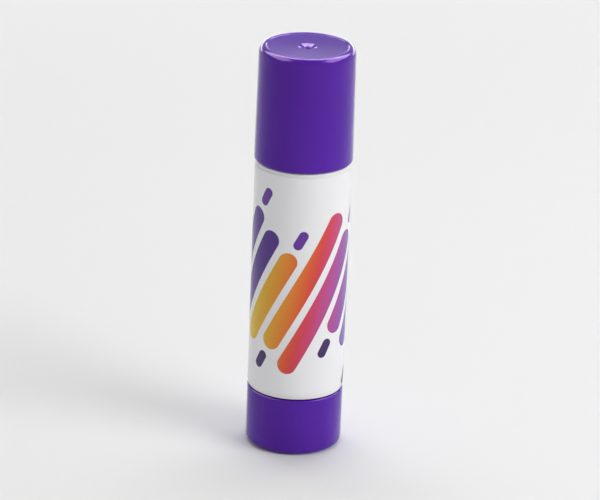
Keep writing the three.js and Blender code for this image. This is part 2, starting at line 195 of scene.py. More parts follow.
# Hexagonal root of the spindle and its hole in the knob's hub
ROOT_LENGTH = 6.0
ROOT_ACROSS_FLATS = 5.0
ROOT_START = math.radians(30)  # the first corner
ROOT_RADIUS = ROOT_ACROSS_FLATS / 2 / math.cos(ROOT_START)
ROOT_CHAMFER = 0.4
ROOT_CLEARANCE = 0.1
ROOT_END_GAP = 0.3
FLANGE_THICKNESS = 1.0
SPINDLE_TIP_CHAMFER = 0.8
THREAD_BELOW_NUT = 2.0
HOLE_RADIUS = ROOT_RADIUS + ROOT_CLEARANCE
HUB_RADIUS = HOLE_RADIUS + HUB_WALL

# Printed pattern of the label: slanted bars with rounded ends, all round the barrel
BAR_COUNT = 10
BAR_SLANT = math.radians(28)
BAR_RADIUS = 2.3
BAR_HEIGHT = 40.5
BAR_HALF_LENGTH = 14.5
LENGTH_CHANGE = 3.6
LENGTH_WAVES = 3  # round the barrel
LENGTH_PHASE = 0.6
STAGGER = 3.2
STAGGER_WAVES = 4
STAGGER_PHASE = 1.9
DASH_RADIUS = 1.15
DASH_HALF_LENGTH = 1.3
DASH_GAP = 1.5
BAND_START = 0.17  # share of the colour band at the first bar
BAND_LEAN = 0.3  # how much the colour changes along a bar, set against across it
INK_EDGE = 0.06

# Surfaces, made of noises that run from 0 to 1
PLASTIC_SMUDGES = (0.97, 1.04)  # shares of the roughness of a plastic
SCUFF_RANGE = (0.62, 0.72)  # noise below it shows no scuff, and above it a full one
SCUFF_ROUGHNESS = 0.02
PLASTIC_LIGHT_DEPTH = 0.6  # reached by the light inside translucent plastic
GLUE_CLOUDS = (0.88, 1.14)  # shares of the colour of the glue
GLUE_ROUGHNESS = 0.34
GLUE_LIGHT_DEPTH = 1.5
BLOOM_RANGE = (0.52, 0.8)
BLOOM_COVER = 0.22
BLOOM_ROUGHNESS = 0.55
FILM_ROUGHNESS = (0.23, 0.27)

# View, as in the photograph: 17.8 degrees down on the top of the cap, from 0.92 m away
VIEW_ELEVATION = math.radians(17.8)
VIEW_DISTANCE = 920.0
VIEW_AIM = 47.7
VIEW_ROLL = math.radians(2.2)
SENSOR = 36.0
LENS = 240.0
NEAR_CLIP = 0.05  # in metres

# Light, with lengths in metres
BACKGROUND = 0.9
ZENITH = 0.5
SWEEP_START = 0.05  # the background dims between these sines of elevation
SWEEP_END = 0.4
FILL = 0.43
FLOOR_RADIUS = 6.0
FLOOR_SIDES = 96
FLOOR_GREY = 0.77
FLOOR_ROUGHNESS = 0.9
FLOOR_SHINE = 0.1
FLOOR_FADE_START = 0.2
FLOOR_FADE_END = 0.55
FLOOR_DROP = 0.00002
LAMP_DISTANCE = 0.9
LAMP_AIM = 0.07

# Colours, in linear light
PURPLE = (0.080, 0.014, 0.340)
LILAC = (0.85, 0.48, 1.0)
CLEAR = (1.0, 1.0, 1.0)
WHITE = (0.80, 0.80, 0.79)
NATURAL = (0.74, 0.74, 0.72)
FILM = (0.86, 0.86, 0.875)
GLUE_VIOLET = (0.060, 0.034, 0.270)
GLUE_BLOOM = (0.20, 0.15, 0.48)
ACCENT = (0.120, 0.024, 0.320)
DARK_ACCENT = (0.040, 0.008, 0.110)

# Colours of the bars, each at its share of the way round the barrel
RAINBOW = (
    (0.03, (0.74, 0.50, 0.00)),
    (0.10, (0.78, 0.30, 0.01)),
    (0.16, (0.76, 0.12, 0.01)),
    (0.21, (0.66, 0.02, 0.03)),
    (0.27, (0.55, 0.06, 0.22)),
    (0.35, (0.24, 0.06, 0.42)),
    (0.45, (0.05, 0.11, 0.46)),
    (0.70, (0.12, 0.03, 0.38)),
    (0.97, (0.07, 0.01, 0.24)),
)


def arc(centre, width, height, start, end, steps=ARC_STEPS):
    """Points on an ellipse between two angles in degrees, counted from the radial direction."""
    points = []
    for step in range(steps + 1):
        angle = math.radians(start + (end - start) * step / steps)
        points.append((centre[0] + width * math.cos(angle), centre[1] + height * math.sin(angle)))
    return points


def rounded(corners, steps=FILLET_STEPS):
    """An outline from corners (radius, height, fillet); a fillet of 0 leaves the corner sharp."""
    outline = []
    for i, (radius, height, fillet) in enumerate(corners):
        corner = Vector((radius, height))
        if fillet == 0:
            outline.append(tuple(corner))
            continue
        before = (Vector(corners[i - 1][:2]) - corner).normalized()
        after = (Vector(corners[(i + 1) % len(corners)][:2]) - corner).normalized()
        half = before.angle(after) / 2
        centre = corner + (before + after).normalized() * fillet / math.sin(half)
        run = fillet / math.tan(half)
        first = corner + before * run - centre
        turn = (corner + after * run - centre).angle_signed(first)
        for step in range(steps + 1):
            spin = Matrix.Rotation(turn * step / steps, 2)
            outline.append(tuple(centre + spin @ first))
    return outline


def spread(count, start=0.0):
    return [start + 2 * math.pi * i / count for i in range(count)]


def place(radius, angle, height):
    return Vector((radius * math.cos(angle), radius * math.sin(angle), height)) * MM


def add_band(shape, low, high):
    """Faces between two rings of vertices, either of which may be a single vertex on the axis."""
    sides = max(len(low), len(high))
    for i in range(sides):
        j = (i + 1) % sides
        if len(low) == 1:
            shape.faces.new((low[0], high[j], high[i]))
        elif len(high) == 1:
            shape.faces.new((low[i], low[j], high[0]))
        else:
            shape.faces.new((low[i], low[j], high[j], high[i]))


def turned(outline, sides=SIDES, start=0.0):
    """An outline turned round the axis. Points on the axis become one vertex each."""
    shape = bmesh.new()
    rings = []
    for radius, height in outline:
        turns = spread(1 if radius < ON_AXIS else sides, start)
        rings.append([shape.verts.new(place(radius, turn, height)) for turn in turns])
    for low, high in zip(rings, rings[1:]):
        add_band(shape, low, high)
    if len(rings[0]) > 1:
        add_band(shape, rings[-1], rings[0])
    return shape


def plates(outline, thickness, angles):
    """Flat plates that stand out from the axis at each angle, from a side outline, with softened edges."""
    shape = bmesh.new()
    for angle in angles:
        across = Vector((-math.sin(angle), math.cos(angle), 0)) * thickness * MM
        sides = []
        for share in (-0.5, 0.5):
            sides.append([shape.verts.new(place(r, angle, h) + across * share) for r, h in outline])
        add_band(shape, *sides)
        for side in sides:
            shape.faces.new(side)
    bmesh.ops.recalc_face_normals(shape, faces=shape.faces)
    softness = FINE_FILLET * MM
    bmesh.ops.bevel(shape, geom=shape.edges[:], offset=softness, segments=2, affect="EDGES", profile=0.5)
    return shape


def spokes(inner, outer, bottom, top, thickness, angles):
    return plates(((inner, bottom), (outer, bottom), (outer, top), (inner, top)), thickness, angles)


def thread(bottom, top, grow=0.0):
    """The ridge of the screw as one closed tube of sections along its helix. grow widens it for the nut."""
    shape = bmesh.new()
    steps = math.ceil((top - bottom) / THREAD_LEAD * THREAD_STEPS)
    sections = []
    for step in range(steps + 1):
        height = bottom + (top - bottom) * step / steps
        full = 1.0 if grow else min(1.0, (height - bottom) / THREAD_FADE, (top - height) / THREAD_FADE)
        crest = FADED_CREST + (CREST_RADIUS - FADED_CREST) * full + grow
        outline = rounded([
            (RIDGE_FOOT, -THREAD_ROOT_WIDTH / 2 - grow, 0),
            (crest, -THREAD_CREST_WIDTH / 2 - grow, THREAD_ROUNDING),
            (crest, THREAD_CREST_WIDTH / 2 + grow, THREAD_ROUNDING),
            (RIDGE_FOOT, THREAD_ROOT_WIDTH / 2 + grow, 0),
        ], CREST_STEPS)
        turn = -2 * math.pi * height / THREAD_LEAD
        sections.append([shape.verts.new(place(radius, turn, height + rise)) for radius, rise in outline])
    for low, high in zip(sections, sections[1:]):
        add_band(shape, low, high)
    shape.faces.new(sections[0])
    shape.faces.new(sections[-1])
    bmesh.ops.triangulate(shape, faces=shape.faces)
    return shape


def combined(shape, operation, *others):
    """A closed shape with others united to it, or taken away from it, as one closed skin."""
    for other in others:
        pair = []
        for part in (shape, other):
            bmesh.ops.recalc_face_normals(part, faces=part.faces)
            mesh = bpy.data.meshes.new("uncombined")
            part.to_mesh(mesh)
            part.free()
            pair.append(bpy.data.objects.new("uncombined", mesh))
            bpy.context.scene.collection.objects.link(pair[-1])
        boolean = pair[0].modifiers.new("boolean", "BOOLEAN")
        boolean.operation = operation
        boolean.solver = "EXACT"
        boolean.object = pair[1]
        shape = bmesh.new()
        shape.from_object(pair[0], bpy.context.evaluated_depsgraph_get())
        for part in pair:
            mesh = part.data
            bpy.data.objects.remove(part)
            bpy.data.meshes.remove(mesh)
    return shape


def finish_piece(name, shape, stands_for, body, material):
    """Makes an object of the shape, smooth but for its real edges, and puts it on its body."""
    bmesh.ops.remove_doubles(shape, verts=shape.verts, dist=SAME_POINT)
    bmesh.ops.dissolve_degenerate(shape, edges=shape.edges, dist=SAME_POINT)
    bmesh.ops.recalc_face_normals(shape, faces=shape.faces)
    for face in shape.faces:
        face.smooth = True
    for edge in shape.edges:
        edge.smooth = len(edge.link_faces) == 2 and edge.calc_face_angle() < SMOOTH_UNDER
    mesh = bpy.data.meshes.new(name)
    shape.to_mesh(mesh)
    shape.free()
    piece = bpy.data.objects.new(name, mesh)
    bpy.context.scene.collection.objects.link(piece)
    mesh.materials.append(material)
    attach(piece, body)
    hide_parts(stands_for)


def make_cap(material):
    mouth_inner = CAP_RADIUS - CAP_WALL
    rim = CAP_RADIUS - CAP_DRAFT - CAP_SHOULDER_WIDTH
    disc = CAP_TOP - CAP_RECESS
    ceiling = disc - CAP_TOP_WALL
    gate_floor = disc - GATE_DEPTH
    seal_outer = BORE_RADIUS - SEAL_CLEARANCE
    seal_inner = seal_outer - SEAL_WALL
    seal_middle = seal_outer - SEAL_WALL / 2
    seal_bottom = MOUTH - SEAL_REACH
    inside = rounded([
        (0, ceiling, 0),
        (seal_inner, ceiling, FILLET),
        (seal_inner, seal_bottom, FINE_FILLET),
        (seal_middle, seal_bottom, FINE_FILLET),
        (seal_outer, seal_bottom + SEAL_TAPER, FILLET),
        (seal_outer, ceiling, FILLET),
        (mouth_inner - CAP_DRAFT, ceiling, FILLET),
        (mouth_inner, CAP_BASE + CAP_MOUTH_EDGE, EDGE_FILLET),
        (mouth_inner + CAP_MOUTH_EDGE / 2, CAP_BASE, 0),
    ])
    mouth_edge = (CAP_RADIUS - CAP_MOUTH_EDGE, CAP_BASE + CAP_MOUTH_EDGE)
    shoulder = (rim, CAP_TOP - CAP_SHOULDER_DROP)
    outside = arc(mouth_edge, CAP_MOUTH_EDGE, CAP_MOUTH_EDGE, -90, 0)
    outside += arc(shoulder, CAP_SHOULDER_WIDTH, CAP_SHOULDER_DROP, 0, 90, 2 * ARC_STEPS)
    top = rounded([
        (rim, CAP_TOP, 0),
        (rim - CAP_RIM_WIDTH, CAP_TOP, EDGE_FILLET),
        (rim - CAP_RIM_WIDTH - CAP_RECESS, disc, FINE_FILLET),
        (GATE_RADIUS, disc, EDGE_FILLET),
        (GATE_FLOOR_RADIUS, gate_floor, FINE_FILLET),
        (NUB_FOOT_RADIUS, gate_floor, FINE_FILLET / 2),
        (NUB_RADIUS, gate_floor + NUB_HEIGHT, EDGE_FILLET),
        (0, gate_floor + NUB_HEIGHT, 0),
    ])
    shell = turned(inside + outside + top[1:])
    gusset_bottom = MOUTH + GUSSET_GAP
    gusset_top = ceiling + CAP_RECESS
    gusset_angles = spread(GUSSET_COUNT)
    gussets = spokes(seal_middle, mouth_inner, gusset_bottom, gusset_top, GUSSET_THICKNESS, gusset_angles)
    whole = combined(shell, "UNION", gussets)
    finish_piece("cap_shell", whole, "cap", "cap", material)


def make_barrel(material):
    edge = BARREL_EDGE
    outer = BARREL_RADIUS - edge
    lip = NECK_WALL / 2
    bead = SHOULDER + BEAD_UP
    groove = SPIGOT_RADIUS + SNAP_RISE + SNAP_CLEARANCE
    groove_half = SNAP_WIDTH / 2 + SNAP_CLEARANCE
    outline = [(SOCKET_RADIUS + edge, BARREL_BASE)]
    outline += arc((outer, BARREL_BASE + edge), edge, edge, -90, 0, FILLET_STEPS)
    outline += arc((outer, SHOULDER - edge), edge, edge, 0, 90, FILLET_STEPS)
    outline += rounded([
        (outer, SHOULDER, 0),
        (NECK_RADIUS, SHOULDER, EDGE_FILLET),
        (NECK_RADIUS, bead - BEAD_WIDTH / 2, FILLET),
        (NECK_RADIUS + BEAD_RISE, bead - BEAD_WIDTH / 4, EDGE_FILLET),
        (NECK_RADIUS + BEAD_RISE, bead + BEAD_WIDTH / 4, EDGE_FILLET),
        (NECK_RADIUS, bead + BEAD_WIDTH / 2, FILLET),
        (NECK_RADIUS, MOUTH - lip, 0),
    ])[1:-1]
    outline += arc((NECK_RADIUS - lip, MOUTH - lip), lip, lip, 0, 180)
    outline += [
        (BORE_RADIUS, SOCKET_TOP),
        (SOCKET_RADIUS, SOCKET_TOP),
        (SOCKET_RADIUS, SNAP_MIDDLE + groove_half),
        (groove, SNAP_MIDDLE + SNAP_WIDTH / 4),
        (groove, SNAP_MIDDLE - SNAP_WIDTH / 4),
        (SOCKET_RADIUS, SNAP_MIDDLE - groove_half),
        (SOCKET_RADIUS, BARREL_BASE + edge),
    ]
    rooted = BORE_RADIUS + lip
    tip = BORE_RADIUS - RIB_HEIGHT
    rib = [
        (rooted, SOCKET_TOP),
        (BORE_RADIUS, SOCKET_TOP),
        (tip, SOCKET_TOP + RIB_LEAD_IN),
        (tip, RIB_TOP - RIB_LEAD_IN),
        (BORE_RADIUS, RIB_TOP),
        (rooted, RIB_TOP),
    ]
    ribs = plates(rib, RIB_WIDTH, spread(RIB_COUNT, RIB_START))
    whole = combined(turned(outline), "UNION", ribs)
    finish_piece("barrel_tube", whole, "barrel", "barrel", material)


def make_label(material):
    """A strip wrapped round the barrel, whose ends meet at the back, with its print unrolled on a map."""
    seam = LABEL_SEAM / 2 / LABEL_OUTER
    inner = LABEL_OUTER - LABEL_THICKNESS
    section = (
        (inner, LABEL_BASE),
        (LABEL_OUTER, LABEL_BASE),
        (LABEL_OUTER, LABEL_TOP),
        (inner, LABEL_TOP),
    )
    shape = bmesh.new()
    unrolled = shape.loops.layers.uv.new("OFBake")

    def add_face(corners, spots):
        face = shape.faces.new(corners)
        for loop, spot in zip(face.loops, spots):
            loop[unrolled].uv = spot

    columns = []
    for i in range(SIDES + 1):
        angle = math.pi / 2 + seam + (2 * math.pi - 2 * seam) * i / SIDES
        columns.append([shape.verts.new(place(radius, angle, height)) for radius, height in section])
    for step, (left, right) in enumerate(zip(columns, columns[1:])):
        start, end = step / SIDES, (step + 1) / SIDES
        for i, (low, high) in enumerate(LABEL_MAP_ROWS):
            j = (i + 1) % 4
            corners = (left[i], right[i], right[j], left[j])
            add_face(corners, ((start, low), (end, low), (end, high), (start, high)))
    low, high = LABEL_MAP_END_ROW
    for column, (start, end) in zip((columns[0], columns[-1]), LABEL_MAP_ENDS):
        add_face(column, ((start, low), (start, high), (end, high), (end, low)))
    finish_piece("label_wrap", shape, "label", "barrel", material)


def make_knob(material):
    foot_outer = KNOB_RADIUS - KNOB_FILLET
    foot_inner = foot_outer - FOOT_RING_WIDTH
    underside = KNOB_BASE + FOOT_RECESS
    nub = underside - FOOT_NUB_HEIGHT
    floor_top = underside + KNOB_FLOOR
    hub_top = floor_top + HUB_HEIGHT
    spigot_chamfer = SPIGOT_WALL / 2
    outline = rounded([
        (0, nub, 0),
        (FOOT_NUB_RADIUS, nub, FINE_FILLET),
        (FOOT_NUB_BASE_RADIUS, underside, FINE_FILLET),
        (foot_inner - FOOT_RECESS, underside, EDGE_FILLET),
        (foot_inner, KNOB_BASE, EDGE_FILLET),
        (foot_outer, KNOB_BASE, 0),
    ])
    outline += arc((foot_outer, KNOB_BASE + KNOB_FILLET), KNOB_FILLET, KNOB_FILLET, -90, 0)[1:]
    edge = (KNOB_RADIUS - KNOB_EDGE, KNOB_TOP - KNOB_EDGE)
    outline += arc(edge, KNOB_EDGE, KNOB_EDGE, 0, 90, FILLET_STEPS)
    outline += rounded([
        (KNOB_RADIUS - KNOB_EDGE, KNOB_TOP, 0),
        (SPIGOT_RADIUS, KNOB_TOP, FINE_FILLET),
        (SPIGOT_RADIUS, SNAP_MIDDLE - SNAP_WIDTH / 2, EDGE_FILLET),
        (SPIGOT_RADIUS + SNAP_RISE, SNAP_MIDDLE - SNAP_WIDTH / 4, EDGE_FILLET),
        (SPIGOT_RADIUS + SNAP_RISE, SNAP_MIDDLE + SNAP_WIDTH / 4, EDGE_FILLET),
        (SPIGOT_RADIUS, SNAP_MIDDLE + SNAP_WIDTH / 2, EDGE_FILLET),
        (SPIGOT_RADIUS, SPIGOT_TOP - spigot_chamfer, EDGE_FILLET),
        (SPIGOT_RADIUS - spigot_chamfer, SPIGOT_TOP, EDGE_FILLET),
        (SPIGOT_INNER, SPIGOT_TOP, FINE_FILLET),
        (SPIGOT_INNER, floor_top, FILLET),
        (HUB_RADIUS, floor_top, FILLET),
        (HUB_RADIUS, hub_top, EDGE_FILLET),
        (0, hub_top, 0),
    ])[1:]
    rib_inner = HUB_RADIUS - HUB_WALL / 2
    rib_outer = (SPIGOT_INNER + KNOB_RADIUS) / 2
    rib_top = floor_top + KNOB_RIB_HEIGHT
    rib_angles = spread(KNOB_RIB_COUNT)
    ribs = spokes(rib_inner, rib_outer, floor_top - KNOB_FLOOR / 2, rib_top, KNOB_RIB_THICKNESS, rib_angles)
    hole_bottom = SPINDLE_BASE - ROOT_END_GAP
    hole = turned([
        (0, hole_bottom),
        (HOLE_RADIUS, hole_bottom),
        (HOLE_RADIUS, hub_top - ROOT_CHAMFER),
        (HOLE_RADIUS + 2 * ROOT_CHAMFER, hub_top + ROOT_CHAMFER),
        (0, hub_top + ROOT_CHAMFER),
    ], 6, ROOT_START)
    ribbed = combined(turned(outline), "UNION", ribs)
    bored = combined(ribbed, "DIFFERENCE", hole)
    finish_piece("knob_cup", bored, "knob", "drive", material)


def make_spindle(material):
    """The screw: a hexagonal root for the knob's hub, a flange that sits on the hub, and the thread."""
    flange_bottom = SPINDLE_BASE + ROOT_LENGTH
    flange_top = flange_bottom + FLANGE_THICKNESS
    root_top = flange_bottom + FLANGE_THICKNESS / 2
    tip_base = SPINDLE_TOP - SPINDLE_TIP_CHAMFER
    shaft = turned(rounded([
        (0, flange_bottom, 0),
        (FLANGE_RADIUS, flange_bottom, EDGE_FILLET),
        (FLANGE_RADIUS, flange_top, EDGE_FILLET),
        (THREAD_CORE, flange_top, FILLET),
        (THREAD_CORE, tip_base, FILLET),
        (THREAD_CORE - SPINDLE_TIP_CHAMFER, SPINDLE_TOP, FILLET),
        (0, SPINDLE_TOP, 0),
    ]), SIDES // 2)
    root = turned([
        (0, SPINDLE_BASE),
        (ROOT_RADIUS - ROOT_CHAMFER, SPINDLE_BASE),
        (ROOT_RADIUS, SPINDLE_BASE + ROOT_CHAMFER),
        (ROOT_RADIUS, root_top),
        (0, root_top),
    ], 6, ROOT_START)
    ridge = thread(CARRIER_BASE - THREAD_BELOW_NUT, tip_base - THREAD_ROOT_WIDTH / 2)
    screw = combined(shaft, "UNION", root, ridge)
    finish_piece("spindle_screw", screw, "spindle", "drive", material)


def make_carrier(material):
    """The piston under the glue: a keyed cup with two sealing lips, and the nut in its middle."""
    relieved = CARRIER_RADIUS - LIP_RELIEF
    floor_top = CARRIER_BASE + CARRIER_FLOOR
    cup = turned(rounded([
        (0, CARRIER_BASE, 0),
        (relieved, CARRIER_BASE, FINE_FILLET),
        (CARRIER_RADIUS, CARRIER_BASE + LIP_RELIEF, FINE_FILLET),
        (CARRIER_RADIUS, CARRIER_BASE + LIP_HEIGHT, FINE_FILLET),
        (relieved, CARRIER_BASE + LIP_HEIGHT + LIP_RELIEF, FINE_FILLET),
        (relieved, CARRIER_TOP - LIP_HEIGHT - LIP_RELIEF, FINE_FILLET),
        (CARRIER_RADIUS, CARRIER_TOP - LIP_HEIGHT, FINE_FILLET),
        (CARRIER_RADIUS, CARRIER_TOP - LIP_RELIEF, FINE_FILLET),
        (relieved, CARRIER_TOP, FINE_FILLET),
        (CUP_RADIUS, CARRIER_TOP, FINE_FILLET),
        (CUP_RADIUS, floor_top, EDGE_FILLET),
        (NUT_RADIUS, floor_top, EDGE_FILLET),
        (NUT_RADIUS, CARRIER_TOP, FINE_FILLET),
        (0, CARRIER_TOP, 0),
    ]))
    under = CARRIER_BASE - THREAD_LEAD
    over = CARRIER_TOP + THREAD_LEAD
    notch_inner = (CUP_RADIUS + NUT_RADIUS) / 2
    notch_bottom = CARRIER_TOP - NOTCH_DEPTH
    bore = THREAD_CORE + THREAD_CLEARANCE
    cuts = (
        spokes(KEYWAY_RADIUS, BARREL_RADIUS, under, over, KEYWAY_WIDTH, spread(RIB_COUNT, RIB_START)),
        spokes(notch_inner, BARREL_RADIUS, notch_bottom, over, NOTCH_WIDTH, spread(NOTCH_COUNT)),
        turned([(0, under), (bore, under), (bore, over), (0, over)], SIDES // 2),
        thread(under, over, THREAD_CLEARANCE),
    )
    piston = combined(cup, "DIFFERENCE", *cuts)
    finish_piece("carrier_piston", piston, "carrier", "carriage", material)


def make_glue(material):
    """The cast glue: it fills the carrier's cup, clears the screw and is keyed by the barrel's ribs."""
    cup_rim = CARRIER_TOP + CASTING_GAP
    cup_radius = CUP_RADIUS - CASTING_GAP
    nut_radius = NUT_RADIUS + CASTING_GAP
    hole_radius = CREST_RADIUS + BORE_CLEARANCE
    hole_top = SPINDLE_TOP + GLUE_OVER_SPINDLE
    outline = rounded([
        (0, hole_top, 0),
        (hole_radius, hole_top, 0),
        (hole_radius, cup_rim, 0),
        (nut_radius, cup_rim, 0),
        (nut_radius, GLUE_BASE, 0),
        (cup_radius, GLUE_BASE, 0),
        (cup_radius, cup_rim, 0),
        (GLUE_RADIUS, cup_rim, 0),
        (GLUE_RADIUS, GLUE_TOP - GLUE_CHAMFER_HEIGHT, GLUE_TIP_FILLET),
        (GLUE_RADIUS - GLUE_CHAMFER_WIDTH, GLUE_TOP, GLUE_TIP_FILLET),
        (0, GLUE_TOP, 0),
    ])
    keyway_angles = spread(RIB_COUNT, RIB_START)
    keyways = spokes(KEYWAY_RADIUS, BARREL_RADIUS, GLUE_BASE, KEYWAY_TOP, KEYWAY_WIDTH, keyway_angles)
    mass = combined(turned(outline), "DIFFERENCE", keyways)
    finish_piece("glue_mass", mass, "glue", "carriage", material)


class Field:
    """A number that varies over a surface, so that node formulas read as plain arithmetic."""

    def __init__(self, tree, socket):
        self.tree = tree
        self.socket = socket

    def math(self, operation, *others):
        node = self.tree.nodes.new("ShaderNodeMath")
        node.operation = operation
        for slot, value in zip(node.inputs, (self, *others)):
            if isinstance(value, Field):
                self.tree.links.new(value.socket, slot)
            else:
                slot.default_value = value
        return Field(self.tree, node.outputs[0])

    def __add__(self, other):
        return self.math("ADD", other)

    def __sub__(self, other):
        return self.math("SUBTRACT", other)

    def __mul__(self, other):
        return self.math("MULTIPLY", other)

    def ramp(self, low, high, start=0.0, end=1.0):
        node = self.tree.nodes.new("ShaderNodeMapRange")
        node.interpolation_type = "SMOOTHSTEP"
        self.tree.links.new(self.socket, node.inputs["Value"])
        for name, value in (("From Min", low), ("From Max", high), ("To Min", start), ("To Max", end)):
            node.inputs[name].default_value = value
        return Field(self.tree, node.outputs["Result"])

    def contrast(self, start=0.0, end=1.0):
        """The middle of a noise, where most of it lies, spread over the whole range."""
        return self.ramp(0.3, 0.7, start, end)

    def to(self, slot):
        self.tree.links.new(self.socket, slot)


def new_material(name):
    material = bpy.data.materials.new(name)
    material.use_nodes = True
    tree = material.node_tree
    return material, tree, tree.nodes["Principled BSDF"]


def position(tree):
    """The place on the object in millimetres, as a vector socket."""
    where = tree.nodes.new("ShaderNodeTexCoord")
    scale = tree.nodes.new("ShaderNodeVectorMath")
    scale.operation = "SCALE"
    scale.inputs["Scale"].default_value = 1 / MM
    tree.links.new(where.outputs["Object"], scale.inputs[0])
    return scale.outputs[0]


def noise(tree, vector, size, detail=2.0, stretch=1.0):
    """Noise whose grains are about size millimetres, and stretch times as tall."""
    mapping = tree.nodes.new("ShaderNodeMapping")
    mapping.inputs["Scale"].default_value = (1 / size, 1 / size, 1 / (size * stretch))
    texture = tree.nodes.new("ShaderNodeTexNoise")
    texture.inputs["Scale"].default_value = 1.0
    texture.inputs["Detail"].default_value = detail
    tree.links.new(vector, mapping.inputs["Vector"])
    tree.links.new(mapping.outputs[0], texture.inputs["Vector"])
    return Field(tree, texture.outputs["Fac"])


def mix(tree, amount, first, second):
    """A colour between two, each a colour socket or plain numbers."""
    node = tree.nodes.new("ShaderNodeMix")
    node.data_type = "RGBA"
    amount.to(node.inputs["Factor"])
    for name, colour in (("A", first), ("B", second)):
        slot = next(s for s in node.inputs if s.name == name and s.type == "RGBA")
        if isinstance(colour, tuple):
            slot.default_value = (*colour, 1)
        else:
            tree.links.new(colour, slot)
    return next(s for s in node.outputs if s.type == "RGBA")


def bump(tree, height, depth, before=None):
    """Raises the surface by up to depth millimetres where height is 1."""
    node = tree.nodes.new("ShaderNodeBump")
    node.inputs["Distance"].default_value = depth * MM
    height.to(node.inputs["Height"])
    if before:
        tree.links.new(before, node.inputs["Normal"])
    return node.outputs["Normal"]


def tint(colour, share):
    return tuple(min(1.0, channel * share) for channel in colour)


def plastic(name, colour, roughness, shine, streaks, ripple, softness=0.0, glint=CLEAR):
    """Moulded plastic: flow streaks, a slightly rippled skin, hairline scuffs and tinted highlights."""
    material, tree, shader = new_material(name)
    here = position(tree)
    flow = noise(tree, here, size=9.0, detail=3.0, stretch=2.5).contrast()
    smudges = noise(tree, here, size=6.0, detail=4.0).contrast(*PLASTIC_SMUDGES)
    scuffs = noise(tree, here, size=0.3, detail=4.0, stretch=30).ramp(*SCUFF_RANGE)
    skin = noise(tree, here, size=1.1)
    streaked = mix(tree, flow, tint(colour, 1 - streaks), tint(colour, 1 + streaks))
    tree.links.new(streaked, shader.inputs["Base Color"])
    (smudges * roughness + scuffs * SCUFF_ROUGHNESS).to(shader.inputs["Roughness"])
    tree.links.new(bump(tree, skin, ripple), shader.inputs["Normal"])
    shader.inputs["Specular IOR Level"].default_value = shine
    shader.inputs["Specular Tint"].default_value = (*glint, 1)
    shader.inputs["Subsurface Weight"].default_value = softness
    shader.inputs["Subsurface Scale"].default_value = PLASTIC_LIGHT_DEPTH * MM
    shader.inputs["Subsurface Radius"].default_value = (1.0, 1.0, 1.0)
    return material


def waxy_glue():
    """Cast glue: cloudy, slightly translucent wax with a dry bloom and draw marks along the stick."""
    material, tree, shader = new_material("violet_glue")
    here = position(tree)
    cloud = noise(tree, here, size=5.0, detail=4.0).contrast()
    bloom = noise(tree, here, size=2.2, detail=5.0).ramp(*BLOOM_RANGE)
    marks = noise(tree, here, size=0.7, detail=3.0, stretch=14)
    pits = noise(tree, here, size=0.45)
    cloudy = mix(tree, cloud, *(tint(GLUE_VIOLET, share) for share in GLUE_CLOUDS))
    bloomed = mix(tree, bloom * BLOOM_COVER, cloudy, GLUE_BLOOM)
    tree.links.new(bloomed, shader.inputs["Base Color"])
    bloom.ramp(0.0, 1.0, GLUE_ROUGHNESS, BLOOM_ROUGHNESS).to(shader.inputs["Roughness"])
    drawn = bump(tree, marks, depth=0.03)
    tree.links.new(bump(tree, pits, depth=0.02, before=drawn), shader.inputs["Normal"])
    shader.inputs["Subsurface Weight"].default_value = 0.25
    shader.inputs["Subsurface Scale"].default_value = GLUE_LIGHT_DEPTH * MM
    shader.inputs["Subsurface Radius"].default_value = (0.5, 0.3, 1.0)
    return material


def colour_band(tree, field, stops):
    node = tree.nodes.new("ShaderNodeValToRGB")
    band = node.color_ramp
    band.interpolation = "B_SPLINE"
    while len(band.elements) < len(stops):
        band.elements.new(1.0)
    for element, (share, colour) in zip(band.elements, stops):
        element.position = share
        element.color = (*colour, 1)
    field.to(node.inputs["Fac"])
    return node.outputs["Color"]


def capsule(across, along, half_length, radius):
    """1 inside a bar with round ends, 0 outside, from the distances to its middle."""
    past_end = (along.math("ABSOLUTE") - half_length).math("MAXIMUM", 0.0)
    distance = (across * across + past_end * past_end).math("SQRT")
    return distance.ramp(radius - INK_EDGE, radius + INK_EDGE, 1.0, 0.0)


